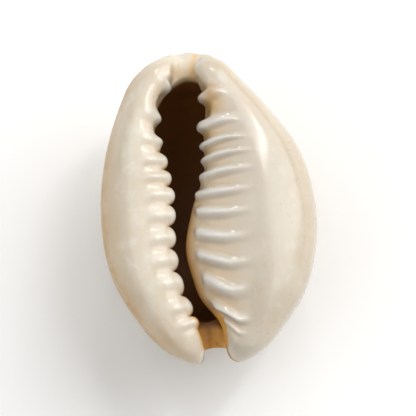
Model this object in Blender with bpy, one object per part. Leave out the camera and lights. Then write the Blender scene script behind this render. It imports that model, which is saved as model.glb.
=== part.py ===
"""Ring cowrie shell, lying on its domed back with the toothed mouth facing up.

The shell grew as one piece, so it is one solid: a domed body that curls in on itself, with
two thick lips along a mouth that runs the whole length of the base, twelve teeth on each lip,
a short open canal at each end and one hollow inside. +Y is the front (anterior) end, +X the
broad lip beside the columella, -X the narrow outer lip, +Z up out of the mouth.

Lengths are in millimetres until the mesh is made. Z is 0 at the top of the lips.
"""

import bmesh
import bpy
import numpy as np

MM = 0.001

# Driving dimensions.
HALF_LENGTH = 11.15
DOME_HEIGHT = 8.2
DOME_SHIFT = 0.6
DOME_LEANS_BACK = 0.08
BASE_DROOP = 1.7
LIP_THICKNESS = 2.6
LIP_TO_ROOF = 2.2
MARGIN = -2.8
BACK_WALL = 1.1
SIDE_WALL = 1.4
HOLLOW_BACK = 8.4
HOLLOW_FRONT = 9.4
CANAL_DEPTH = 1.3
RIM_ROUND = 0.9
OUTER_TOOTH = 0.5
BROAD_TOOTH = 0.36
WORN_SPOT_DEPTH = 0.16

# Widths along the shell: each pair is a distance along Y and the width or place in X there.
OUTER_LIP_SIDE = ((-11, 6.9), (-8, 6.85), (-5, 7.15), (0, 6.97), (4.5, 6.7), (6.5, 6.55), (8, 6.5), (9.3, 6.5), (11, 5.2))
BROAD_LIP_SIDE = ((-11, 7.0), (-9, 7.5), (-7, 8.0), (-5, 8.05), (0, 7.88), (4, 7.4), (7, 6.2), (9, 5.1), (11, 4.4))
OUTER_LIP_EDGE = (
    (-11, -0.9), (-8.3, -1.4), (-6.9, -1.75), (-5.4, -2.12), (-2.5, -2.25), (0.7, -2.02),
    (3, -2.3), (5.5, -2.6), (7.2, -2.3), (8.6, -1.6), (9.6, -1.35), (11, -1.3),
)
BROAD_LIP_EDGE = (
    (-11, 0.75), (-8.3, 0.3), (-6.8, -0.82), (-5.2, -1.35), (-3.4, -1.65), (-0.7, -0.97),
    (2, 0.2), (5, 0.55), (7.6, 0.95), (8.8, 0.65), (9.9, 0.4), (11, 0.9),
)
BROAD_LIP_SHELF = ((-11, 0.0), (-8.5, 0.1), (-7, 0.4), (-5.2, 0.85), (-3.2, 0.8), (1, 0.15), (3, 0.0), (11, 0.0))
MARGIN_LEVEL = ((-11, -2.7), (-8, MARGIN), (8, MARGIN), (11, -1.9))
OUTER_RIM = ((-11, 2.25), (-8, 1.8), (11, 2.1))
BROAD_RIM = ((-11, 2.8), (-7, 1.8), (11, 1.8))
CANAL_FLOOR = ((-11, 0.6), (11, 0.3))
CANAL_LIFT = ((-11, 0), (0, 0), (9, 0.9), (10.2, 0.6), (11, 0.15))
HOLLOW_ARCH = ((17, 0), (18.5, 0.4), (22, 0), (24.3, 0.35), (26, 0.05), (27, 0))

# Teeth: where each pair crosses the mouth, and how steeply the ridges fan out beside it.
TEETH = (-8.3, -7.05, -5.3, -3.75, -2.25, -0.75, 0.65, 1.95, 3.1, 4.3, 5.8, 7.85)
OUTER_FAN = (
    (-11, 0), (-8.3, -0.25), (-5.3, -0.22), (-2.3, -0.12), (0.7, 0),
    (3, 0.03), (4.4, 0.27), (6, 0.5), (8, 0.68), (11, 0),
)
BROAD_FAN = (
    (-11, 0), (-9.6, -0.38), (-8.5, -0.58), (-7.3, -0.76), (-5.2, -0.73), (-3.6, -0.55),
    (-0.7, -0.17), (2, 0.12), (6, 0.17), (11, 0),
)
BROAD_SHIFT = (
    (-11, 0), (-8.3, -0.3), (-6.8, -0.3), (-5.2, 0), (-3, 0.08), (-0.7, -0.02),
    (0.7, -0.22), (3, -0.25), (5.8, -0.5), (7.8, -0.25), (11, 0),
)

# Places round the section. It is drawn from 27 control points, numbered from the edge of the
# outer lip (0) over the dome to the edge of the broad lip (17) and back inside the hollow.
OUTER_SHOULDER = 3
BROAD_SHOULDER = 14
BROAD_EDGE = 17
TURN = 27
OUTSIDE_PLACES = (0, 1, 2, 3.5, 5, 7, 8.5, 10, 12, 13.5, 15, 16, 17)
INSIDE_PLACES = (27, 26.6, 26, 25, 24, 23, 22, 21, 20, 19, 18.2, 17.6, 17)
OUTER_REACH = (
    (0, 1), (1, 1.4), (2, 2.1), (2.7, 2.4), (3.6, 1.5), (4.8, 0.2), (6, 0),
    (21, 0), (23, 0.05), (24.5, 0.35), (25.7, 0.7), (27, 1),
)
BROAD_REACH = ((12, 0), (14.2, 2.1), (15, 1.9), (16, 0.5), (17, 0))
SHIFT_REACH = ((12, 0), (14, 1), (20, 1), (22, 0))

# How far the rim is set back at each end, by place, which rounds the corners of the lips, and
# at the front also by the distance across, which rounds it to an arch.
POSTERIOR_RIM = (
    (0, 0.7), (0.6, 0.4), (1.2, 0.16), (2, -0.06), (3, -0.15), (4, -0.1), (5, 0.15), (8.5, 1.1),
    (11.5, 0.2), (13, -0.2), (14, -0.22), (14.5, -0.12), (15, 0.05), (15.5, 0.28), (16, 0.46), (17, 0.9),
)
ANTERIOR_RIM = ((0, 0), (8.5, -0.1), (12, 0), (14, 0.1), (15, 0.25), (16, 0.38), (17, 0.45))
FRONT_ARCH = (
    (-4.6, 0), (-3.8, 0.16), (-3.1, 0.2), (-2.5, 0.34), (-1.9, 0.48), (-1.3, 0.36), (-0.6, 0.18),
    (0.2, 0.06), (1.0, 0.32), (1.6, 0.45), (2.1, 0.45), (2.7, 0.25), (3.5, 0),
)
END_ZONE = 3.2
ARCH_ZONE = 2

# How finely the skin is divided.
ROWS_PER_TOOTH = 6
ROWS_PER_END = 8
COLUMNS_PER_LIP = 7
COLUMNS_OVER_DOME = 15


def along(stations, y):
    """Value at y of the smooth curve through the stations, a Hermite cubic between neighbours."""
    at, value = np.array(stations, float).T
    slope = np.gradient(value, at)
    y = np.clip(y, at[0], at[-1])
    i = np.clip(np.searchsorted(at, y) - 1, 0, len(at) - 2)
    step = at[i + 1] - at[i]
    t = (y - at[i]) / step
    rise = value[i + 1] - value[i]
    bend_in = slope[i] * step - rise
    bend_out = rise - slope[i + 1] * step
    return value[i] + rise * t + t * (1 - t) * (bend_in * (1 - t) + bend_out * t)


def between(pairs, place):
    """Value at a place round the section, in straight steps between the pairs."""
    at, value = np.array(pairs, float).T
    return np.interp(place, at, value)


def ramp(low, high, x):
    """0 below low, 1 above high, and a smooth S between them."""
    t = np.clip((x - low) / (high - low), 0, 1)
    return t * t * (3 - 2 * t)


def section(y, place):
    """The 27 control points of the C-shaped section at y, in turn round the C.

    Widths and heights shrink as an ellipse towards the ends, but no further than the rims of
    the two canals. The lips take their share of the room between the mouth and the sides, and
    the hollow ends a little sooner along its walls than in its middle.
    """
    end = np.sqrt(np.clip(1 - (y / HALF_LENGTH) ** 2, 0, 1))
    into = np.abs(y) + ramp(5, 8.5, np.abs(y)) * along(HOLLOW_ARCH, place)
    into = into / np.where(y < 0, HOLLOW_BACK, HOLLOW_FRONT)
    hollow = np.sqrt(np.clip(1 - into**2, 0, 1)) * (1 - ramp(0.9, 1.0, into))
    height = DOME_HEIGHT * (1 - DOME_LEANS_BACK * y / HALF_LENGTH)
    fullness = 0.35 + 0.65 * np.tanh(2.2 * end)
    lip = LIP_THICKNESS * fullness
    shift = DOME_SHIFT * end

    left = np.hypot(along(OUTER_LIP_SIDE, y) * end, along(OUTER_RIM, y))
    right = np.hypot(along(BROAD_LIP_SIDE, y) * end, along(BROAD_RIM, y))
    edge_left = along(OUTER_LIP_EDGE, y)
    edge_right = along(BROAD_LIP_EDGE, y)
    crest = edge_right + along(BROAD_LIP_SHELF, y)
    base_left = left + edge_left
    base_right = right - crest

    top = -BASE_DROOP * (1 - end) ** 1.6
    level = along(MARGIN_LEVEL, y)
    rise = top - level
    drop = np.hypot(height * end, CANAL_DEPTH)

    in_left = np.hypot(edge_left - 0.1, (left - SIDE_WALL) * hollow)
    in_right = np.hypot(edge_right + 0.1, (right - SIDE_WALL) * hollow)
    in_drop = np.hypot(along(CANAL_FLOOR, y), (height - BACK_WALL) * hollow)
    room_left = in_left + edge_left
    room_right = in_right - edge_right
    floor_middle = (edge_left + edge_right) / 2 * (1 - hollow) + DOME_SHIFT * hollow
    in_level = level + along(CANAL_LIFT, y) * (1 - hollow)
    roof = in_level - 0.1 * (1 - hollow) + (-MARGIN - LIP_TO_ROOF) * hollow
    canal = (top - in_level + in_drop) * (1 - hollow)
    lip_inside = 0.92 * lip * hollow + 0.55 * canal
    slope = (edge_right - edge_left) * (1 - hollow) * ramp(7.5, 9.5, y)

    outside = [
        (edge_left + 0.19 * fullness, top - 0.37 * lip * hollow - 0.22 * canal),
        (edge_left - 0.11 * base_left, top - 0.07 * lip),
        (edge_left - 0.34 * base_left, top + 0.03 * lip),
        (edge_left - 0.66 * base_left, level + rise * 0.97),
        (-left * 0.95, level + rise * 0.64),
        (-left * 1.03, level),
        (-left * 0.97, level - drop * 0.40),
        (-left * 0.74 + 0.5 * shift, level - drop * 0.82),
        (-left * 0.38 + shift, level - drop * 1.03),
        (right * 0.38 + shift, level - drop * 1.03),
        (right * 0.74 + 0.5 * shift, level - drop * 0.82),
        (right * 0.97, level - drop * 0.40),
        (right * 1.03, level),
        (right * 0.95, level + rise * 0.68),
        (crest + 0.70 * base_right, level + rise * 1.02),
        (crest + 0.21 * base_right, top + 0.06 * lip),
        (crest + 0.05 * base_right, top - 0.12 * lip),
        (edge_right - 0.12 * fullness, top - 0.5 * lip * hollow - 0.3 * canal),
    ]
    inside = [
        (edge_right + 0.08 * room_right, top - lip_inside),
        (edge_right + 0.55 * room_right, roof),
        (in_right * 1.04, in_level - in_drop * 0.3),
        (in_right * 0.78, in_level - in_drop * 0.93),
        (floor_middle, in_level - in_drop * 1.12),
        (-in_left * 0.78 + 0.3 * slope, in_level - in_drop * 0.93),
        (-in_left * 1.04 + 0.4 * slope, in_level - in_drop * 0.3),
        (edge_left - 0.55 * room_left + 0.25 * slope, roof),
        (edge_left - 0.12 * room_left + 0.1 * slope, top - lip_inside),
    ]
    return outside + inside


def rounded(points, place):
    """Uniform cubic B-spline through the closed ring of control points, at each place."""
    i = np.floor(place).astype(int)
    f = place - i
    weights = (
        (1 - f) ** 3 / 6,
        (3 * f**3 - 6 * f**2 + 4) / 6,
        (-3 * f**3 + 3 * f**2 + 3 * f + 1) / 6,
        f**3 / 6,
    )
    blend = np.zeros((len(place), TURN))
    for k, weight in enumerate(weights):
        blend[np.arange(len(place)), (i + k - 1) % TURN] += weight
    x = sum(blend[:, j] * points[j][0] for j in range(TURN))
    z = sum(blend[:, j] * points[j][1] for j in range(TURN))
    return x, z


def columns():
    """Places round the section: evenly spaced over the dome, closer on the lips, and inside
    one partner for each place outside."""
    fine = np.linspace(OUTER_SHOULDER, BROAD_SHOULDER, 400)
    x, z = rounded(section(0.0, fine), fine)
    length = np.concatenate([[0], np.cumsum(np.hypot(np.diff(x), np.diff(z)))])
    even = np.linspace(0, length[-1], COLUMNS_OVER_DOME, endpoint=False)
    outer_lip = np.linspace(0, OUTER_SHOULDER, COLUMNS_PER_LIP, endpoint=False)
    dome = np.interp(even, length, fine)
    broad_lip = np.linspace(BROAD_SHOULDER, BROAD_EDGE, COLUMNS_PER_LIP + 1)
    outside = np.concatenate([outer_lip, dome, broad_lip])
    inside = np.interp(outside[1:-1], OUTSIDE_PLACES, INSIDE_PLACES)
    place = np.concatenate([outside, inside[::-1]])
    outside_place = np.concatenate([outside, outside[1:-1][::-1]])
    return place, outside_place


def rows():
    """Distances along Y and the tooth count there: whole numbers are the crests of the teeth."""
    count = np.arange(0, (len(TEETH) - 1) * ROWS_PER_TOOTH + 1) / ROWS_PER_TOOTH
    middle = np.interp(count, np.arange(len(TEETH)), TEETH)
    closing = 1 - np.cos(np.linspace(0, np.pi / 2, ROWS_PER_END, endpoint=False))
    back = -HALF_LENGTH + (TEETH[0] + HALF_LENGTH) * closing
    front = HALF_LENGTH - (HALF_LENGTH - TEETH[-1]) * closing[::-1]
    pitch = 1.4
    y = np.concatenate([back, middle, front])
    tooth = np.concatenate([(back - TEETH[0]) / pitch, count, (front - TEETH[-1]) / pitch + count[-1]])
    return y, tooth


def ridge_height(y, tooth, place):
    """How far the teeth push the skin out or draw it in, fading away from the mouth."""
    wave = 0.5 + 0.5 * np.cos(2 * np.pi * tooth)
    off_crest = tooth - np.round(tooth)
    knob = (np.sqrt(1 - 0.94 * (2 * off_crest) ** 2) - 0.245) / 0.755
    last = len(TEETH) - 1
    toothed = 1 - ramp(last + 0.05, last + 0.7, tooth)

    front = ramp(3.0, 5.0, y)
    from_outer_edge = np.where(place > 20, place - TURN, place)
    at_edge = (1 - ramp(0.15, 0.8, from_outer_edge)) * (1 - front)
    bump = knob * at_edge + wave**1.6 * (1 - at_edge)
    fade = (1 - 0.7 * ramp(0.05, 0.85, from_outer_edge)) * (1 - ramp(1.3, 2.5, from_outer_edge))
    outer = fade * ramp(-0.9, -0.2, from_outer_edge) * ramp(-0.7, 0.0, tooth) * (bump - 0.5)

    forward = ramp(-1.5, 2.0, y)
    stop = 15.9 + 0.8 * forward
    stronger = 1 + 1.0 * ramp(3.5, 6.5, y) * ramp(15.6, 16.4, place)
    finger = 0.7 * front * ramp(15.2, 16.2, place)
    ridge = wave**2 * (1 - finger) + np.exp(-(off_crest / 0.21) ** 4) * finger
    fade = ramp(14.4, 15.3, place) * (1 - ramp(0, 0.35 + 0.4 * forward, place - stop))
    broad = fade * ramp(-0.6, 0.9, tooth) * stronger * (ridge - 0.3)
    return toothed * (OUTER_TOOTH * outer + BROAD_TOOTH * broad)


def skin():
    """Points of the shell's skin as a grid: rows along Y, columns round the section."""
    row_y, tooth = rows()
    place, outside_place = columns()
    y = row_y[:, None] + 0 * place
    tooth = tooth[:, None] + 0 * place
    fan = along(OUTER_FAN, y) * along(OUTER_REACH, place)
    fan += along(BROAD_FAN, y) * between(BROAD_REACH, place)
    fan += along(BROAD_SHIFT, y) * between(SHIFT_REACH, place)
    at = y + fan
    x, z = rounded(section(at, place), place)

    zone = HALF_LENGTH - END_ZONE
    set_back = along(POSTERIOR_RIM, outside_place) * ramp(zone, HALF_LENGTH, -at)
    set_forward = -along(ANTERIOR_RIM, outside_place) * ramp(zone, HALF_LENGTH, at)
    set_forward -= along(FRONT_ARCH, x) * ramp(HALF_LENGTH - ARCH_ZONE, HALF_LENGTH, at)
    grid = np.stack([x, at + set_back + set_forward, z], axis=2)

    # The last stretch closes round: outside and inside meet each other in the rim.
    past = np.clip((np.abs(at) - HALF_LENGTH + RIM_ROUND) / RIM_ROUND, 0, 1)
    thickness = 0.1 + 0.9 * np.sqrt(1 - past**2)
    partner = np.roll(grid[:, ::-1], 1, axis=1)
    middle = (grid + partner) / 2
    grid = middle + (grid - middle) * thickness[..., None]

    lengthwise = np.gradient(grid, axis=0)
    crosswise = np.roll(grid, -1, axis=1) - np.roll(grid, 1, axis=1)
    outward = np.cross(lengthwise, crosswise)
    outward /= np.linalg.norm(outward, axis=2, keepdims=True)
    return grid + outward * ridge_height(y, tooth, place)[..., None]


def ivory():
    """Glossy cream enamel."""
    material = bpy.data.materials.new("ivory enamel")
    material.use_nodes = True
    shader = material.node_tree.nodes["Principled BSDF"]
    shader.inputs["Base Color"].default_value = (0.78, 0.70, 0.57, 1)
    shader.inputs["Roughness"].default_value = 0.25
    shader.inputs["Metallic"].default_value = 0.0
    return material


def build():
    for old in list(bpy.data.objects):
        bpy.data.objects.remove(old)
    grid = skin()
    row_count, ring = grid.shape[:2]
    bm = bmesh.new()
    verts = [bm.verts.new(point) for point in grid.reshape(-1, 3) * MM]
    for r in range(row_count - 1):
        for c in range(ring):
            near, beside = r * ring + c, r * ring + (c + 1) % ring
            bm.faces.new((verts[near], verts[beside], verts[beside + ring], verts[near + ring]))
    for r in (0, row_count - 1):
        for c in range(ring // 2):
            corners = dict.fromkeys((c, c + 1, ring - c - 1, (ring - c) % ring))
            bm.faces.new([verts[r * ring + corner] for corner in corners])

    # The spot it rests on, worn flat in the middle of the dome.
    lowest = min(vert.co.z for vert in bm.verts)
    spot = lowest + WORN_SPOT_DEPTH * MM
    cut = bmesh.ops.bisect_plane(
        bm, geom=bm.verts[:] + bm.edges[:] + bm.faces[:], dist=0.0001 * MM,
        plane_co=(0, 0, spot), plane_no=(0, 0, -1), clear_outer=True,
    )
    edges = [item for item in cut["geom_cut"] if isinstance(item, bmesh.types.BMEdge)]
    bmesh.ops.contextual_create(bm, geom=edges)
    bmesh.ops.recalc_face_normals(bm, faces=bm.faces)

    # Stand it at the middle of its own footprint.
    low = np.array([min(vert.co[k] for vert in bm.verts) for k in range(3)])
    high = np.array([max(vert.co[k] for vert in bm.verts) for k in range(3)])
    bmesh.ops.translate(
        bm, verts=bm.verts, vec=(-(low[0] + high[0]) / 2, -(low[1] + high[1]) / 2, -low[2]))

    mesh = bpy.data.meshes.new("shell")
    bm.to_mesh(mesh)
    bm.free()
    mesh.set_sharp_from_angle(angle=np.radians(50))
    mesh.materials.append(ivory())
    shell = bpy.data.objects.new("shell", mesh)
    bpy.context.collection.objects.link(shell)


build()
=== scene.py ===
import math

import bpy
import numpy as np
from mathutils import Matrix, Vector


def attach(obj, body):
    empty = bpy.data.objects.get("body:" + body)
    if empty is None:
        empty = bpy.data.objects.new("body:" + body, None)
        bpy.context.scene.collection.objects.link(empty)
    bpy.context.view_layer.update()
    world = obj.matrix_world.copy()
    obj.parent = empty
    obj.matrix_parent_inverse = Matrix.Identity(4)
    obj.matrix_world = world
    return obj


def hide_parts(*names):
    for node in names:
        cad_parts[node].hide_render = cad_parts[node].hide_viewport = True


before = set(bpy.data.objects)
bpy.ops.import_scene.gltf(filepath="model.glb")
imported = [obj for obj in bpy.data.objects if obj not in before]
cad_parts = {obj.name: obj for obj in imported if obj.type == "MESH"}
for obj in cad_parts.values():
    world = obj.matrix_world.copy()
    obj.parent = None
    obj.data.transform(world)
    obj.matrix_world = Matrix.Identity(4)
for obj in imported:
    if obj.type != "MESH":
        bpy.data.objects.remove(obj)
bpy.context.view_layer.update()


# Camera
# The photograph looks almost straight down on the shell, from a little toward its rear end,
# and the shell lies turned a few degrees to the left. A long lens keeps the view nearly flat.
MM = 0.001
CAMERA_AZIMUTH = -5.7
CAMERA_ELEVATION = 79.0
LENS = 250.0
VIEW_HEIGHT = 29.5 * MM
AIM_HEIGHT = 8.5 * MM

azimuth = math.radians(CAMERA_AZIMUTH)
elevation = math.radians(CAMERA_ELEVATION)
toward_camera = Vector((
    math.sin(azimuth) * math.cos(elevation),
    -math.cos(azimuth) * math.cos(elevation),
    math.sin(elevation),
))
camera = bpy.data.objects.new("camera", bpy.data.cameras.new("camera"))
camera.data.lens = LENS
camera.data.clip_start = 0.01
camera.data.clip_end = 10
distance = VIEW_HEIGHT / 2 * LENS / (camera.data.sensor_width / 2)
aim = Vector((0.0, 0.0, AIM_HEIGHT))
camera.location = aim + toward_camera * distance
camera.rotation_euler = (-toward_camera).to_track_quat("-Z", "Y").to_euler()
bpy.context.collection.objects.link(camera)
bpy.context.scene.camera = camera


# Shell
# One grown piece of enamelled lime: a domed body that curls in on itself, with two thick lips
# along the slit of the mouth, twelve ridged teeth on each, and a short canal at both ends.
# Lengths are in millimetres until the mesh is made, and Z is 0 at the top of the lips.
HALF_LENGTH = 11.15
DOME_HEIGHT = 8.2
DOME_SHIFT = 0.6
DOME_LEANS_BACK = 0.08
BASE_DROOP = 1.7
LIP_THICKNESS = 2.6
LIP_TO_ROOF = 2.2
MARGIN = -2.8
BACK_WALL = 1.1
SIDE_WALL = 1.4
HOLLOW_BACK = 8.4
HOLLOW_FRONT = 9.4
CANAL_DEPTH = 1.3
RIM_ROUND = 0.9
WORN_SPOT_DEPTH = 0.16

# Each pair is a distance along the shell and a length there: how far each lip reaches to its
# side, how far across each edge lies, how far the broad lip's shelf reaches past its edge, the
# level of the margin, the half widths of the rims, and how deep and how raised the canals are.
OUTER_LIP_SIDE = (
    (-11, 6.9), (-8, 6.85), (-5, 7.15), (0, 6.97), (4.5, 6.7),
    (6.5, 6.55), (8, 6.5), (9.3, 6.5), (11, 5.2),
)
BROAD_LIP_SIDE = (
    (-11, 7.0), (-9, 7.5), (-7, 8.0), (-5, 8.05), (0, 7.88),
    (4, 7.4), (7, 6.2), (9, 5.1), (11, 4.4),
)
OUTER_LIP_EDGE = (
    (-11, -0.9), (-8.3, -1.4), (-6.9, -1.75), (-5.4, -2.12), (-2.5, -2.25), (0.7, -2.02),
    (3, -2.3), (5.5, -2.6), (7.2, -2.3), (8.6, -1.6), (9.6, -1.35), (11, -1.3),
)
BROAD_LIP_EDGE = (
    (-11, 0.75), (-8.3, 0.3), (-6.8, -0.82), (-5.2, -1.35), (-3.4, -1.65), (-0.7, -0.97),
    (2, 0.2), (5, 0.55), (7.6, 0.95), (8.8, 0.65), (9.9, 0.4), (11, 0.9),
)
BROAD_LIP_SHELF = (
    (-11, 0.0), (-8.5, 0.1), (-7, 0.4), (-5.2, 0.85),
    (-3.2, 0.8), (1, 0.15), (3, 0.0), (11, 0.0),
)
MARGIN_LEVEL = ((-11, -2.7), (-8, MARGIN), (8, MARGIN), (11, -1.9))
OUTER_RIM = ((-11, 2.25), (-8, 1.8), (11, 2.1))
BROAD_RIM = ((-11, 2.8), (-7, 1.8), (11, 1.8))
CANAL_FLOOR = ((-11, 0.6), (11, 0.3))
CANAL_LIFT = ((-11, 0), (0, 0), (9, 0.9), (10.2, 0.6), (11, 0.15))

# Places round the section: 0 is the edge of the outer lip, 3 its shoulder, 8.5 the middle of
# the dome, 14 the broad lip's shoulder and 17 its edge. Inside the hollow lie the broad lip's
# wall, the floor from 20 with its middle at 22, and the outer lip's wall up to 27, its edge.
OUTER_SHOULDER = 3
BROAD_SHOULDER = 14
BROAD_EDGE = 17
FLOOR_STARTS = 20
FLOOR_MIDDLE = 22
TURN = 27
OUTSIDE_PLACES = (0, 1, 2, 3.5, 5, 7, 8.5, 10, 12, 13.5, 15, 16, 17)
INSIDE_PLACES = (27, 26.6, 26, 25, 24, 23, 22, 21, 20, 19, 18.2, 17.6, 17)

# By place inside, how much sooner the hollow ends there than it does in its middle.
HOLLOW_ARCH = ((17, 0), (18.5, 0.4), (22, 0), (24.3, 0.35), (26, 0.05), (27, 0))

# How fine the grid is, and from how many samples the even columns over the dome are measured.
ROWS_PER_TOOTH = 26
ROWS_PER_END = 48
COLUMNS_PER_LIP = 34
COLUMNS_OVER_DOME = 52
DOME_SAMPLES = 600


def along(stations, y):
    """Value at y of the smooth curve through the stations, a Hermite cubic between neighbours."""
    at, value = np.array(stations, float).T
    slope = np.gradient(value, at)
    y = np.clip(y, at[0], at[-1])
    i = np.clip(np.searchsorted(at, y) - 1, 0, len(at) - 2)
    step = at[i + 1] - at[i]
    t = (y - at[i]) / step
    rise = value[i + 1] - value[i]
    bend_in = slope[i] * step - rise
    bend_out = rise - slope[i + 1] * step
    return value[i] + rise * t + t * (1 - t) * (bend_in * (1 - t) + bend_out * t)


def between(pairs, place):
    """Value at a place round the section, in straight steps between the pairs."""
    at, value = np.array(pairs, float).T
    return np.interp(place, at, value)


def ramp(low, high, x):
    """0 below low, 1 above high, and the S curve t squared times (3 - 2t) between them."""
    t = np.clip((x - low) / (high - low), 0, 1)
    return t * t * (3 - 2 * t)


def section(y, place):
    """The 27 control points of the C-shaped section at y: from the edge of the outer lip over
    the dome to the edge of the broad lip, and back inside. Widths and heights shrink as the
    ellipse sqrt(1 - (y / half length) squared), but no further than the rims of the canals.
    The hollow ends as such an ellipse too, a little sooner along its walls than in its middle.
    Each point is a pair of across and up, and the numbers in it are shares of a half width,
    of the drop to the dome or to the hollow's floor, or of the lip's thickness."""
    end = np.sqrt(np.clip(1 - (y / HALF_LENGTH) ** 2, 0, 1))
    into = np.abs(y) + ramp(5, 8.5, np.abs(y)) * along(HOLLOW_ARCH, place)
    into = into / np.where(y < 0, HOLLOW_BACK, HOLLOW_FRONT)
    hollow = np.sqrt(np.clip(1 - into**2, 0, 1)) * (1 - ramp(0.9, 1.0, into))
    height = DOME_HEIGHT * (1 - DOME_LEANS_BACK * y / HALF_LENGTH)
    fullness = 0.35 + 0.65 * np.tanh(2.2 * end)
    lip = LIP_THICKNESS * fullness
    shift = DOME_SHIFT * end

    left = np.hypot(along(OUTER_LIP_SIDE, y) * end, along(OUTER_RIM, y))
    right = np.hypot(along(BROAD_LIP_SIDE, y) * end, along(BROAD_RIM, y))
    edge_left = along(OUTER_LIP_EDGE, y)
    edge_right = along(BROAD_LIP_EDGE, y)
    crest = edge_right + along(BROAD_LIP_SHELF, y)
    base_left = left + edge_left
    base_right = right - crest

    top = -BASE_DROOP * (1 - end) ** 1.6
    level = along(MARGIN_LEVEL, y)
    rise = top - level
    drop = np.hypot(height * end, CANAL_DEPTH)

    in_left = np.hypot(edge_left - 0.1, (left - SIDE_WALL) * hollow)
    in_right = np.hypot(edge_right + 0.1, (right - SIDE_WALL) * hollow)
    in_drop = np.hypot(along(CANAL_FLOOR, y), (height - BACK_WALL) * hollow)
    room_left = in_left + edge_left
    room_right = in_right - edge_right
    floor_middle = (edge_left + edge_right) / 2 * (1 - hollow) + DOME_SHIFT * hollow
    in_level = level + along(CANAL_LIFT, y) * (1 - hollow)
    roof = in_level - 0.1 * (1 - hollow) + (-MARGIN - LIP_TO_ROOF) * hollow
    canal = (top - in_level + in_drop) * (1 - hollow)
    lip_inside = 0.92 * lip * hollow + 0.55 * canal
    slope = (edge_right - edge_left) * (1 - hollow) * ramp(7.5, 9.5, y)

    outside = [
        (edge_left + 0.19 * fullness, top - 0.37 * lip * hollow - 0.22 * canal),
        (edge_left - 0.11 * base_left, top - 0.07 * lip),
        (edge_left - 0.34 * base_left, top + 0.03 * lip),
        (edge_left - 0.66 * base_left, level + rise * 0.97),
        (-left * 0.95, level + rise * 0.64),
        (-left * 1.03, level),
        (-left * 0.97, level - drop * 0.40),
        (-left * 0.74 + 0.5 * shift, level - drop * 0.82),
        (-left * 0.38 + shift, level - drop * 1.03),
        (right * 0.38 + shift, level - drop * 1.03),
        (right * 0.74 + 0.5 * shift, level - drop * 0.82),
        (right * 0.97, level - drop * 0.40),
        (right * 1.03, level),
        (right * 0.95, level + rise * 0.68),
        (crest + 0.70 * base_right, level + rise * 1.02),
        (crest + 0.21 * base_right, top + 0.06 * lip),
        (crest + 0.05 * base_right, top - 0.12 * lip),
        (edge_right - 0.12 * fullness, top - 0.5 * lip * hollow - 0.3 * canal),
    ]
    inside = [
        (edge_right + 0.08 * room_right, top - lip_inside),
        (edge_right + 0.55 * room_right, roof),
        (in_right * 1.04, in_level - in_drop * 0.3),
        (in_right * 0.78, in_level - in_drop * 0.93),
        (floor_middle, in_level - in_drop * 1.12),
        (-in_left * 0.78 + 0.3 * slope, in_level - in_drop * 0.93),
        (-in_left * 1.04 + 0.4 * slope, in_level - in_drop * 0.3),
        (edge_left - 0.55 * room_left + 0.25 * slope, roof),
        (edge_left - 0.12 * room_left + 0.1 * slope, top - lip_inside),
    ]
    return outside + inside


def rounded(points, place):
    """Uniform cubic B-spline through the closed ring of control points, at each place."""
    i = np.floor(place).astype(int)
    f = place - i
    weights = (
        (1 - f) ** 3 / 6,
        (3 * f**3 - 6 * f**2 + 4) / 6,
        (-3 * f**3 + 3 * f**2 + 3 * f + 1) / 6,
        f**3 / 6,
    )
    blend = np.zeros((len(place), TURN))
    for k, weight in enumerate(weights):
        blend[np.arange(len(place)), (i + k - 1) % TURN] += weight
    x = sum(blend[:, j] * points[j][0] for j in range(TURN))
    z = sum(blend[:, j] * points[j][1] for j in range(TURN))
    return x, z


def columns():
    """Places round the section: evenly spaced over the dome, closer on the lips, and inside
    one partner for each place outside. Also the outside place of each, for both partners."""
    fine = np.linspace(OUTER_SHOULDER, BROAD_SHOULDER, DOME_SAMPLES)
    x, z = rounded(section(0.0, fine), fine)
    length = np.concatenate([[0], np.cumsum(np.hypot(np.diff(x), np.diff(z)))])
    even = np.linspace(0, length[-1], COLUMNS_OVER_DOME, endpoint=False)
    outer_lip = np.linspace(0, OUTER_SHOULDER, COLUMNS_PER_LIP, endpoint=False)
    dome = np.interp(even, length, fine)
    broad_lip = np.linspace(BROAD_SHOULDER, BROAD_EDGE, COLUMNS_PER_LIP + 1)
    outside = np.concatenate([outer_lip, dome, broad_lip])
    inside = np.interp(outside[1:-1], OUTSIDE_PLACES, INSIDE_PLACES)
    place = np.concatenate([outside, inside[::-1]])
    return place, np.concatenate([outside, outside[1:-1][::-1]])


# The teeth cross the mouth in pairs, opposite each other. On the outer lip they end in round
# knobs at its edge, and on the broad lip they are narrow ridges that fan out toward the ends.
TEETH = (-8.3, -7.05, -5.3, -3.75, -2.25, -0.75, 0.65, 1.95, 3.1, 4.3, 5.8, 7.85)
LAST_TOOTH = len(TEETH) - 1
END_PITCH = 1.4

# Heights from trough to crest, and the shares of them that stay level with the bare lip. The
# knobs' roundness, the notch between two knobs and the fingers' width are plain shares too.
OUTER_TOOTH = 0.5
BROAD_TOOTH = 0.36
OUTER_LEVEL = 0.5
BROAD_LEVEL = 0.3
KNOB_ROUND = 0.94
KNOB_NOTCH = 0.245
FINGER_WIDTH = 0.235

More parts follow.
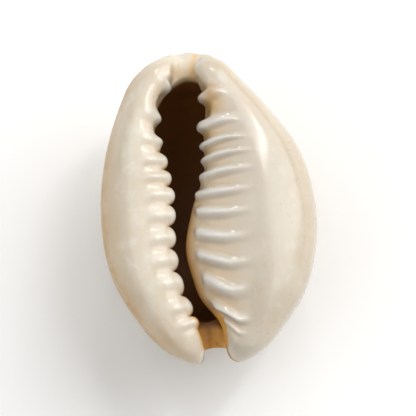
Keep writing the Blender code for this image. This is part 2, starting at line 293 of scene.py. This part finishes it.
# How far forward the ridges of each lip are turned, by the distance along the shell, and how
# strongly that shows at each place round the section.
OUTER_FAN = (
    (-11, 0), (-8.3, -0.25), (-5.3, -0.22), (-2.3, -0.12), (0.7, 0),
    (3, 0.03), (4.4, 0.27), (6, 0.5), (8, 0.68), (11, 0),
)
BROAD_FAN = (
    (-11, 0), (-9.6, -0.38), (-8.5, -0.58), (-7.3, -0.76), (-5.2, -0.73), (-3.6, -0.55),
    (-0.7, -0.17), (2, 0.12), (6, 0.17), (11, 0),
)
BROAD_SHIFT = (
    (-11, 0), (-8.3, -0.3), (-6.8, -0.3), (-5.2, 0), (-3, 0.08), (-0.7, -0.02),
    (0.7, -0.22), (3, -0.25), (5.8, -0.5), (7.8, -0.25), (11, 0),
)
OUTER_REACH = (
    (0, 1), (1, 1.4), (2, 2.1), (2.7, 2.4), (3.6, 1.5), (4.8, 0.2), (6, 0),
    (21, 0), (23, 0.05), (24.5, 0.35), (25.7, 0.7), (27, 1),
)
BROAD_REACH = ((12, 0), (14.2, 2.1), (15, 1.9), (16, 0.5), (17, 0))
SHIFT_REACH = ((12, 0), (14, 1), (20, 1), (22, 0))


def rows():
    """Distances along Y and the tooth count there: whole numbers are the crests of the teeth.
    Past the last tooth the rows crowd toward each end as 1 - cos."""
    count = np.arange(0, LAST_TOOTH * ROWS_PER_TOOTH + 1) / ROWS_PER_TOOTH
    middle = np.interp(count, np.arange(len(TEETH)), TEETH)
    closing = 1 - np.cos(np.linspace(0, np.pi / 2, ROWS_PER_END, endpoint=False))
    back = -HALF_LENGTH + (TEETH[0] + HALF_LENGTH) * closing
    front = HALF_LENGTH - (HALF_LENGTH - TEETH[-1]) * closing[::-1]
    before = (back - TEETH[0]) / END_PITCH
    after = (front - TEETH[-1]) / END_PITCH + LAST_TOOTH
    return np.concatenate([back, middle, front]), np.concatenate([before, count, after])


def past_outer_edge(place):
    """The place counted from the edge of the outer lip, below 0 on the inner side of that lip."""
    return np.where(place > FLOOR_MIDDLE, place - TURN, place)


def tooth_wave(tooth):
    """A raised cosine along the mouth: 1 on the crest of each tooth and 0 midway between."""
    return 0.5 + 0.5 * np.cos(2 * np.pi * tooth)


def tooth_fades(y, tooth, place):
    """How strongly the teeth show on the outer and on the broad lip, from 0 to 1: each fades
    away from the mouth, just inside its edge, and past the last tooth at both ends. The ridges
    of the broad lip stop short of its edge behind and run right over it in front."""
    toothed = 1 - ramp(LAST_TOOTH + 0.05, LAST_TOOTH + 0.7, tooth)
    past_edge = past_outer_edge(place)
    outer = (1 - 0.7 * ramp(0.05, 0.85, past_edge)) * (1 - ramp(1.3, 2.5, past_edge))
    outer = outer * ramp(-0.9, -0.2, past_edge) * ramp(-0.7, 0.0, tooth)
    forward = ramp(-1.5, 2.0, y)
    stop = 16.05 + 0.65 * forward
    broad = ramp(14.4, 15.3, place) * (1 - ramp(0, 0.35 + 0.4 * forward, place - stop))
    broad = broad * ramp(-0.6, 0.9, tooth)
    return toothed * outer, toothed * broad


def ridge_height(y, tooth, place):
    """How far the teeth push the skin out. At the outer lip's edge they are round knobs, the
    square root of 1 - (distance from the crest) squared, and elsewhere powers of the raised
    cosine. Toward the front, the broad lip's ridges turn to fingers with flat tops, e to the
    power of -(distance from the crest) to the fourth. No dent follows the last outer tooth."""
    outer, broad = tooth_fades(y, tooth, place)
    wave = tooth_wave(tooth)
    off_crest = tooth - np.round(tooth)
    front = ramp(3.0, 5.0, y)

    knob = (np.sqrt(1 - KNOB_ROUND * (2 * off_crest) ** 2) - KNOB_NOTCH) / (1 - KNOB_NOTCH)
    at_edge = (1 - ramp(0.15, 0.8, past_outer_edge(place))) * (1 - front)
    bump = knob * at_edge + wave**1.6 * (1 - at_edge) - OUTER_LEVEL
    past_last = ramp(LAST_TOOTH + 0.05, LAST_TOOTH + 0.3, tooth)
    relief = np.maximum(bump, 0) + np.minimum(bump, 0) * (1 - past_last)

    taper = 1.1 + 1.1 * (1 - ramp(14.6, 15.9, place))
    finger = 0.7 * front * ramp(15.2, 16.2, place)
    flat_top = np.exp(-(off_crest / FINGER_WIDTH) ** 4)
    ridge = wave**taper * (1 - finger) + flat_top * finger - BROAD_LEVEL
    stronger = 1 + ramp(3.5, 6.5, y) * ramp(15.6, 16.4, place)
    return OUTER_TOOTH * outer * relief + BROAD_TOOTH * broad * stronger * ridge


# The two ends: how far the rim is set back, by place, which rounds the corners of the lips,
# and at the front also by the distance across, which rounds it to an arch.
POSTERIOR_RIM = (
    (0, 0.7), (0.6, 0.4), (1.2, 0.16), (2, -0.06), (3, -0.15), (4, -0.1), (5, 0.15),
    (8.5, 1.1), (11.5, 0.2), (13, -0.2), (14, -0.22), (14.5, -0.12), (15, 0.05),
    (15.5, 0.28), (16, 0.46), (17, 0.9),
)
ANTERIOR_RIM = ((0, 0), (8.5, -0.1), (12, 0), (14, 0.1), (15, 0.25), (16, 0.38), (17, 0.45))
FRONT_ARCH = (
    (-4.6, 0), (-3.8, 0.16), (-3.1, 0.2), (-2.5, 0.34), (-1.9, 0.48), (-1.3, 0.36), (-0.6, 0.18),
    (0.2, 0.06), (1.0, 0.32), (1.6, 0.45), (2.1, 0.45), (2.7, 0.25), (3.5, 0),
)
END_ZONE = 3.2
ARCH_ZONE = 2
RIM_THINNEST = 0.1


def outward(grid):
    """Unit normals of a closed grid: along the rows crossed with round the columns."""
    lengthwise = np.gradient(grid, axis=0)
    crosswise = np.roll(grid, -1, axis=1) - np.roll(grid, 1, axis=1)
    normal = np.cross(lengthwise, crosswise)
    return normal / np.linalg.norm(normal, axis=2, keepdims=True)


def skin():
    """The skin as a grid of points, rows along Y and columns round the section, with the place,
    the distance along and the tooth count of each. The last stretch at each end closes round,
    as outside and inside meet in the rim, and the teeth are pushed out along the normals."""
    row_y, row_tooth = rows()
    place, outside_place = columns()
    y = row_y[:, None] + 0 * place
    tooth = row_tooth[:, None] + 0 * place
    fan = along(OUTER_FAN, y) * along(OUTER_REACH, place)
    fan += along(BROAD_FAN, y) * between(BROAD_REACH, place)
    fan += along(BROAD_SHIFT, y) * between(SHIFT_REACH, place)
    at = y + fan
    x, z = rounded(section(at, place), place)

    zone = HALF_LENGTH - END_ZONE
    set_back = along(POSTERIOR_RIM, outside_place) * ramp(zone, HALF_LENGTH, -at)
    set_forward = -along(ANTERIOR_RIM, outside_place) * ramp(zone, HALF_LENGTH, at)
    set_forward -= along(FRONT_ARCH, x) * ramp(HALF_LENGTH - ARCH_ZONE, HALF_LENGTH, at)
    grid = np.stack([x, at + set_back + set_forward, z], axis=2)

    past = np.clip((np.abs(at) - HALF_LENGTH + RIM_ROUND) / RIM_ROUND, 0, 1)
    thickness = RIM_THINNEST + (1 - RIM_THINNEST) * np.sqrt(1 - past**2)
    partner = np.roll(grid[:, ::-1], 1, axis=1)
    middle = (grid + partner) / 2
    grid = middle + (grid - middle) * thickness[..., None]
    grid = grid + outward(grid) * ridge_height(y, tooth, place)[..., None]
    return grid, place + 0 * y, y, tooth


grid, place, y_along, tooth = skin()
row_count, ring = place.shape
outer_fade, broad_fade = tooth_fades(y_along, tooth, place)

# Worn flat where it rests, and set on the floor in the middle of its footprint.
points = grid.reshape(-1, 3)
spot_level = points[:, 2].min() + WORN_SPOT_DEPTH
points[:, 2] = np.maximum(points[:, 2], spot_level)
centre = (points.min(axis=0) + points.max(axis=0)) / 2
points = points - np.array([centre[0], centre[1], spot_level])

# Its faces, and at each end a cap across the rim from the outside to its partner inside.
corner = np.arange(row_count * ring).reshape(row_count, ring)
beside = np.roll(corner, -1, axis=1)
sides = np.stack([corner[:-1], beside[:-1], beside[1:], corner[1:]], axis=2).reshape(-1, 4)
half = ring // 2
inner = np.arange(1, half - 1)
faces = [tuple(face) for face in sides.tolist()]
for row, turned in ((0, True), (row_count - 1, False)):
    strip = np.stack([inner, inner + 1, ring - inner - 1, ring - inner], axis=1) + row * ring
    ends = [(row * ring, row * ring + 1, row * ring + ring - 1)]
    ends.append((row * ring + half - 1, row * ring + half, row * ring + half + 1))
    caps = [tuple(face) for face in strip.tolist()] + ends
    faces += [face[::-1] for face in caps] if turned else caps

mesh = bpy.data.meshes.new("shell_skin")
mesh.from_pydata((points * MM).tolist(), [], faces)
mesh.update()
mesh.shade_smooth()


# What colours the enamel: how far inside the mouth a point lies, for painted shade there; the
# troughs and crests of the teeth; the canals and the front end; the margins; and the way to the
# gold ring on the dome. Much of it is painted shade, as each part below says. The limits of a
# ramp are places where it runs over place, and otherwise millimetres.

# Middles are pairs of across and along, and sizes are half a width and half a length.
# Painted shade: the warm tan hollow beside the last tooth.
HOLLOW_SHADE_MIDDLE = (1.35, 7.2)
HOLLOW_SHADE_SIZE = (0.65, 0.95)
ORANGE_SPOT = (0.6, 10.75)
ORANGE_SPOT_SIZE = (0.2, 0.2)
RING_MIDDLE = (0.5, 0.1)
RING_SIZE = (5.2, 7.5)
RING_RADIUS = 6.2
FAR_OUTSIDE_RING = -6.0

# The streak's line, each pair a distance along the shell and how far across it runs there.
STREAK = ((8.8, 0.3), (9.5, 0.2), (10.0, 0.25), (10.9, 0.7))
STREAK_WIDTH = 0.2
STREAK_LOWEST = MARGIN - 0.8

# The ring's waves: how many go round it, how high they are and where the first one starts.
RING_WAVES = ((2, 0.03, 0.6), (3, 0.025, 2.0), (7, 0.012, 0.0))

across, lengthwise, level = np.moveaxis(grid, 2, 0)
depth = -level


def attribute(name, values):
    """One number for each point of the shell, which the enamel reads by name."""
    layer = mesh.attributes.new(name, "FLOAT", "POINT")
    layer.data.foreach_set("value", np.ascontiguousarray(values, dtype=np.float32).ravel())


def from_spot(middle, size):
    """Distance from a middle, 1 on the ellipse with these half sizes: the square root of the
    sum of the squares of the two shares."""
    return np.hypot((across - middle[0]) / size[0], (lengthwise - middle[1]) / size[1])


# Inside the mouth, save on the floors of the two canals: this carries the painted shade that
# turns the mouth tan and then dark brown.
past_broad_edge = ramp(0.0, 1.0, place - BROAD_EDGE)
inside = np.where(place > FLOOR_MIDDLE, ramp(0.05, 0.9, TURN - place), past_broad_edge)
front_floor = ramp(2.0, 3.0, depth) * (1 - ramp(9.5, 9.9, y_along))
past_floor = np.where(y_along < 0, ramp(4.2, 6.5, depth), front_floor)
canal_starts = np.where(y_along < 0, ramp(7.6, 9.7, -y_along), ramp(6.6, 7.8, y_along))
attribute("inside", inside * (1 - (1 - past_floor) * canal_starts))

# The teeth: painted shade in their troughs, white crests on the outer lip and the broad lip's
# ridges greyed as painted shade; and painted shade on the broad lip's edge and on the wall under
# it behind the middle.
wave = tooth_wave(tooth)
# Painted shade: tan in the troughs between the teeth, stronger toward both ends, and golden tan
# in the broad lip's troughs beside the mouth.
deeper_tint = 1 + 0.5 * ramp(2.0, 6.0, y_along) + 0.6 * ramp(2.0, 6.0, -y_along)
attribute("trough", (outer_fade * 0.6 + broad_fade) * (1 - wave) * deeper_tint)
beside_mouth = ramp(15.2, 16.2, place) * ramp(1.0, 5.0, y_along)
attribute("golden_trough_shade", broad_fade * (1 - wave) * beside_mouth)
attribute("crest", outer_fade * 0.7 * wave**2)
attribute("ridge", broad_fade * wave**2)
attribute("fleck_zone", outer_fade * (1 - wave) * (0.4 + 0.6 * ramp(-4.0, 2.0, y_along)))
# Painted shade: brown on the wall under the broad lip's edge and along that edge, where the
# surface turns away from the light.
wall_reach = (1 - ramp(-0.5, 2.5, y_along)) * ramp(-9.5, -8.0, y_along)
attribute("wall", ramp(15.9, 16.5, place) * wall_reach)
on_edge = ramp(16.3, 17.0, place) * (place < FLOOR_STARTS)
attribute("edge_shade", on_edge * (1 - ramp(-2.0, 1.5, y_along)))

# The canals, partly painted shade; painted shade along the margins, with a tan tint on the
# front of the right shoulder; and the broad lip's grey, partly its own callus and partly painted
# shade.
canal_side = np.where(place >= 16.2, 1.0, 1 - ramp(0.0, 0.6, place))
on_lobes = ramp(0.95, 1.3, np.abs(across + 0.1)) * ramp(9.4, 10.2, -y_along)
# Partly the rear canal's own orange-brown, partly painted shade on its sunken floor.
attribute("rear_canal", canal_side * ramp(7.0, 8.2, -y_along) * (1 - on_lobes))
# Painted shade: warm tan on the floor of the front canal, fading before its rim.
attribute("front_canal_shade", canal_side * ramp(8.0, 9.2, y_along) * (1 - ramp(9.3, 10.4, y_along)))
rear_end = ramp(6.0, 9.0, -y_along)
# Painted shade and painted reflection: golden tan along the left margin, which turns away from
# the light.
from_above = np.maximum(ramp(3.0, 4.7, place), 0.55 * rear_end * ramp(2.0, 3.6, place))
left_margin_shade = from_above * (1 - ramp(5.0, 6.3, place))
attribute("left_margin_shade", left_margin_shade)
canal_ends = canal_side * ramp(8.0, 9.2, np.abs(y_along))
attribute("dull", np.maximum(np.maximum(0.7 * left_margin_shade, canal_ends), inside))
# Painted shade: warm tan along the right margin, and a tan tint on the front of the right
# shoulder.
right_margin_shade = ramp(10.5, 11.6, place) * (1 - ramp(12.6, 13.8, place))
right_shoulder = ramp(11.5, 12.5, place) * (1 - ramp(13.8, 14.4, place)) * ramp(4.0, 7.0, y_along)
attribute("right_margin_shade", np.maximum(right_margin_shade, right_shoulder))
# Grey on the broad lip: partly its own grey callus, partly painted shade where it faces away from
# the light.
on_broad_lip = ramp(13.0, 14.6, place) * (1 - ramp(16.6, 17.4, place))
attribute("callus_and_shade", on_broad_lip * (1 - 0.5 * ramp(5.0, 9.0, y_along) - 0.5 * rear_end))

# Painted shade in the hollow beside the last tooth, and the orange streak and spot in the front
# canal.
hollow_shade = np.exp(-from_spot(HOLLOW_SHADE_MIDDLE, HOLLOW_SHADE_SIZE) ** 2)
attribute("hollow_shade", hollow_shade * ramp(13.0, 14.0, place) * (1 - ramp(16.8, 17.4, place)))
off_streak = (across - along(STREAK, lengthwise)) / STREAK_WIDTH
streak = 0.6 * np.exp(-off_streak**2)
streak = streak * ramp(8.8, 9.3, lengthwise) * (1 - ramp(10.7, 10.9, lengthwise))
orange_spot = np.exp(-from_spot(ORANGE_SPOT, ORANGE_SPOT_SIZE) ** 2)
attribute("streak", np.maximum(streak, orange_spot) * (level > STREAK_LOWEST))

# The way inward from the ring on the dome, and where the ring breaks, at both ends.
bearing = np.arctan2(lengthwise - RING_MIDDLE[1], across - RING_MIDDLE[0])
uneven = sum(height * np.sin(count * bearing + start) for count, height, start in RING_WAVES)
inward = (1 - from_spot(RING_MIDDLE, RING_SIZE) + uneven) * RING_RADIUS
on_dome = (place > 5.3) & (place < 11.7)
attribute("ring_distance", np.where(on_dome, inward, FAR_OUTSIDE_RING))
attribute("ring_ends", np.abs(np.sin(bearing)) ** 6)

shell = bpy.data.objects.new("cowrie_shell", mesh)
bpy.context.collection.objects.link(shell)


# The enamel: a glossy clear coat over cream lime, with soft cloudy variation, grey on the broad
# lip that is partly painted shade, painted shade as tan between the teeth and brown along the
# margins, painted shade as dark brown in the mouth, an orange-brown canal behind that is partly
# painted shade, and the gold ring on the dome. The coat is dull inside.
CREAM = (0.68, 0.59, 0.455)
PALE_CREAM = (0.77, 0.70, 0.58)
WHITE_ENAMEL = (0.88, 0.86, 0.82)
# Partly the callus's own grey, partly painted shade.
CALLUS_GREY_AND_SHADE = (0.45, 0.385, 0.30)
# Painted shade: the broad lip's white ridges are greyed to stand for the shade on them.
RIDGE_SHADE_GREY = (0.72, 0.70, 0.66)
TAN = (0.56, 0.42, 0.26)
WARM_TAN = (0.52, 0.34, 0.14)
# Painted shade on the wall under the broad lip's edge.
WALL_SHADE_BROWN = (0.45, 0.29, 0.13)
GOLDEN_TAN = (0.56, 0.34, 0.11)
ORANGE = (0.78, 0.42, 0.08)
CANAL_BROWN = (0.72, 0.40, 0.09)
CANAL_SHADE = (0.52, 0.25, 0.045)
# Painted shade: the dark brown of the mouth stands for the shade inside it.
MOUTH_SHADE_BROWN = (0.20, 0.065, 0.005)
DOME_GREY = (0.58, 0.54, 0.40)
GOLD = (0.85, 0.43, 0.02)
DARK_GOLD = (0.60, 0.27, 0.015)

enamel = bpy.data.materials.new("cowrie_enamel")
enamel.use_nodes = True
tree = enamel.node_tree
shader = tree.nodes["Principled BSDF"]


def node(kind, **settings):
    """A node of the enamel with its properties set."""
    made = tree.nodes.new(kind)
    for name, value in settings.items():
        setattr(made, name, value)
    return made


def feed(socket, source):
    """Sets a socket from another node's output, or from a number or colour."""
    if isinstance(source, bpy.types.NodeSocket):
        tree.links.new(source, socket)
    elif isinstance(source, tuple):
        socket.default_value = (*source, 1)[:len(socket.default_value)]
    else:
        socket.default_value = source


def number(name):
    """One of the numbers stored on the shell's points."""
    return node("ShaderNodeAttribute", attribute_name=name).outputs["Fac"]


def math_of(operation, first, second=0.0, clamp=False):
    """Two numbers put together by the named operation."""
    made = node("ShaderNodeMath", operation=operation, use_clamp=clamp)
    feed(made.inputs[0], first)
    feed(made.inputs[1], second)
    return made.outputs[0]


def span(value, low, high, to_low=0.0, to_high=1.0):
    """The value taken from low..high to to_low..to_high with a smooth S curve."""
    made = node("ShaderNodeMapRange", interpolation_type="SMOOTHSTEP")
    for name, source in zip(("Value", "From Min", "From Max", "To Min", "To Max"),
                            (value, low, high, to_low, to_high)):
        feed(made.inputs[name], source)
    return made.outputs["Result"]


def mixed(share, below, above):
    """The colour below at a share of 0, the one above at 1, and a blend between."""
    made = node("ShaderNodeMix", data_type="RGBA")
    feed(made.inputs[0], share)
    feed(made.inputs[6], below)
    feed(made.inputs[7], above)
    return made.outputs[2]


def tinted(below, name, share, tint):
    """The colour with a tint over it where the stored number says, at most by the share."""
    return mixed(math_of("MULTIPLY", number(name), share, clamp=True), below, tint)


where = node("ShaderNodeTexCoord").outputs["Object"]


def clouds(size_mm, detail, roughness, stretch=(1, 1, 1)):
    """Soft noise with features of about size_mm, stretched along an axis if asked."""
    placed = node("ShaderNodeMapping")
    feed(placed.inputs["Vector"], where)
    placed.inputs["Scale"].default_value = tuple(1000 / size_mm / part for part in stretch)
    made = node("ShaderNodeTexNoise")
    feed(made.inputs["Vector"], placed.outputs["Vector"])
    made.inputs["Scale"].default_value = 1.0
    made.inputs["Detail"].default_value = detail
    made.inputs["Roughness"].default_value = roughness
    return made.outputs["Fac"]


broad_clouds = clouds(5.0, 4, 0.55)
small_clouds = clouds(1.1, 5, 0.65)
growth = clouds(0.5, 3, 0.6, stretch=(1, 14, 1))
specks = clouds(0.22, 2, 0.5)

colour = mixed(span(broad_clouds, 0.35, 0.7), CREAM, PALE_CREAM)
colour = mixed(span(small_clouds, 0.5, 0.72, 0.0, 0.35), colour, WHITE_ENAMEL)
colour = mixed(span(growth, 0.5, 0.75, 0.0, 0.12), colour, TAN)

colour = tinted(colour, "callus_and_shade", 0.66, CALLUS_GREY_AND_SHADE)
# Painted shade along both margins, made uneven by the clouds.
uneven_tint = span(small_clouds, 0.2, 0.7, 0.6, 1.0)
colour = mixed(math_of("MULTIPLY", number("left_margin_shade"), uneven_tint), colour, GOLDEN_TAN)
on_right_margin_shade = math_of("MULTIPLY", number("right_margin_shade"), 0.28)
colour = mixed(math_of("MULTIPLY", on_right_margin_shade, uneven_tint), colour, WARM_TAN)

wander = math_of("MULTIPLY", math_of("SUBTRACT", small_clouds, 0.5), 0.9)
ring_distance = math_of("ADD", number("ring_distance"), wander)
dome_colour = mixed(span(broad_clouds, 0.3, 0.7), DOME_GREY, PALE_CREAM)
colour = mixed(span(ring_distance, -0.1, 0.5), colour, dome_colour)
ring_line = math_of("SUBTRACT", 1.0, span(math_of("ABSOLUTE", ring_distance), 0.12, 0.38))
breaks = math_of("ADD", math_of("MULTIPLY", number("ring_ends"), 0.28), small_clouds)
ring_line = math_of("MULTIPLY", ring_line, span(breaks, 0.5, 0.86, 1.0, 0.15))
colour = mixed(ring_line, colour, mixed(span(specks, 0.35, 0.65), GOLD, DARK_GOLD))

# Each tint lies over those before it, at most by its share.
# Most of these tints are painted shade: the troughs, golden troughs, wall, edge, hollow and front
# canal, and the grey of the broad lip's ridges. The outer crests and the streak are the enamel's
# own colour.
TINTS = (
    ("trough", 0.6, TAN),
    ("golden_trough_shade", 0.7, GOLDEN_TAN),
    ("wall", 0.75, WALL_SHADE_BROWN),
    ("crest", 0.8, WHITE_ENAMEL),
    ("ridge", 0.8, RIDGE_SHADE_GREY),
    ("edge_shade", 0.8, CANAL_SHADE),
    ("hollow_shade", 0.85, GOLDEN_TAN),
    ("front_canal_shade", 0.55, WARM_TAN),
    ("streak", 0.75, ORANGE),
)
for name, share, tint in TINTS:
    colour = tinted(colour, name, share, tint)

flecks = math_of("MULTIPLY", number("fleck_zone"), span(specks, 0.52, 0.6))
colour = mixed(flecks, colour, ORANGE)
# The rear canal: orange-brown, partly painted shade, streaked darker along the growth lines.
canal_colour = mixed(span(growth, 0.35, 0.7), CANAL_BROWN, CANAL_SHADE)
colour = mixed(number("rear_canal"), colour, canal_colour)
# Painted shade: tan just inside the mouth and dark brown deeper in, save on the rear canal.
off_canal = math_of("SUBTRACT", 1.0, number("rear_canal"))
just_inside = math_of("MULTIPLY", span(number("inside"), 0.0, 0.35), off_canal)
colour = mixed(just_inside, colour, TAN)
colour = mixed(span(number("inside"), 0.15, 0.8), colour, MOUTH_SHADE_BROWN)
feed(shader.inputs["Base Color"], colour)

dull = number("dull")
gloss_clouds = span(small_clouds, 0.3, 0.7, 0.26, 0.42)
roughness = math_of("ADD", gloss_clouds, math_of("MULTIPLY", dull, 0.3))
feed(shader.inputs["Roughness"], roughness)
feed(shader.inputs["Coat Weight"], span(dull, 0.0, 1.0, 0.7, 0.1))
bump = node("ShaderNodeBump")
bump.inputs["Strength"].default_value = 0.35
bump.inputs["Distance"].default_value = 0.03 * MM
feed(bump.inputs["Height"], math_of("ADD", math_of("MULTIPLY", growth, 0.6), small_clouds))
feed(shader.inputs["Normal"], bump.outputs["Normal"])
shader.inputs["Coat Roughness"].default_value = 0.13
shader.inputs["Subsurface Weight"].default_value = 0.12
shader.inputs["Subsurface Radius"].default_value = (1.0, 0.7, 0.4)
shader.inputs["Subsurface Scale"].default_value = 1.2 * MM
shader.inputs["IOR"].default_value = 1.53

shell.data.materials.append(enamel)
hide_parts("shell")
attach(shell, "root")


# Floor
# A plain white studio sweep. It belongs to the picture, not to the shell.
FLOOR_HALF = 0.6
PAPER_WHITE = (0.97, 0.965, 0.96, 1)

floor_mesh = bpy.data.meshes.new("floor")
floor_mesh.from_pydata(
    [(-FLOOR_HALF, -FLOOR_HALF, 0), (FLOOR_HALF, -FLOOR_HALF, 0),
     (FLOOR_HALF, FLOOR_HALF, 0), (-FLOOR_HALF, FLOOR_HALF, 0)], [], [(0, 1, 2, 3)])
floor = bpy.data.objects.new("floor", floor_mesh)
bpy.context.collection.objects.link(floor)
paper = bpy.data.materials.new("white_sweep")
paper.use_nodes = True
paper_inputs = paper.node_tree.nodes["Principled BSDF"].inputs
paper_inputs["Base Color"].default_value = PAPER_WHITE
paper_inputs["Roughness"].default_value = 0.8
floor.data.materials.append(paper)


# Light
# One large soft box in front and to the right, a narrow strip within it that draws the glint
# along the broad lip, a small lamp in front for the bright spots on the teeth and the front
# end, a weak fill from the left, a soft box overhead, and a pale room.
ROOM_WHITE = (1.0, 0.99, 0.97, 1)
ROOM_STRENGTH = 0.33


def soft_box(name, place_at, width, length, power):
    """An area light that faces the shell, with its length seen along the shell."""
    lamp = bpy.data.objects.new(name, bpy.data.lights.new(name, "AREA"))
    lamp.data.shape = "RECTANGLE"
    lamp.data.size = width
    lamp.data.size_y = length
    lamp.data.energy = power
    lamp.location = place_at
    lamp.rotation_euler = (aim - Vector(place_at)).to_track_quat("-Z", "Y").to_euler()
    bpy.context.collection.objects.link(lamp)


soft_box("key", (0.30, 0.20, 0.34), width=0.50, length=0.50, power=1.65)
soft_box("strip", (0.193, 0.16, 0.385), width=0.035, length=0.20, power=0.28)
soft_box("glint", (0.045, 0.35, 0.28), width=0.05, length=0.05, power=0.12)
soft_box("fill", (-0.30, -0.10, 0.30), width=0.30, length=0.30, power=0.22)
soft_box("overhead", (-0.12, 0.06, 0.45), width=0.35, length=0.35, power=0.48)

world = bpy.data.worlds.new("studio")
bpy.context.scene.world = world
world.use_nodes = True
background = world.node_tree.nodes["Background"]
background.inputs["Color"].default_value = ROOM_WHITE
background.inputs["Strength"].default_value = ROOM_STRENGTH
bpy.context.scene.view_settings.view_transform = "Standard"
bpy.context.scene.view_settings.look = "None"
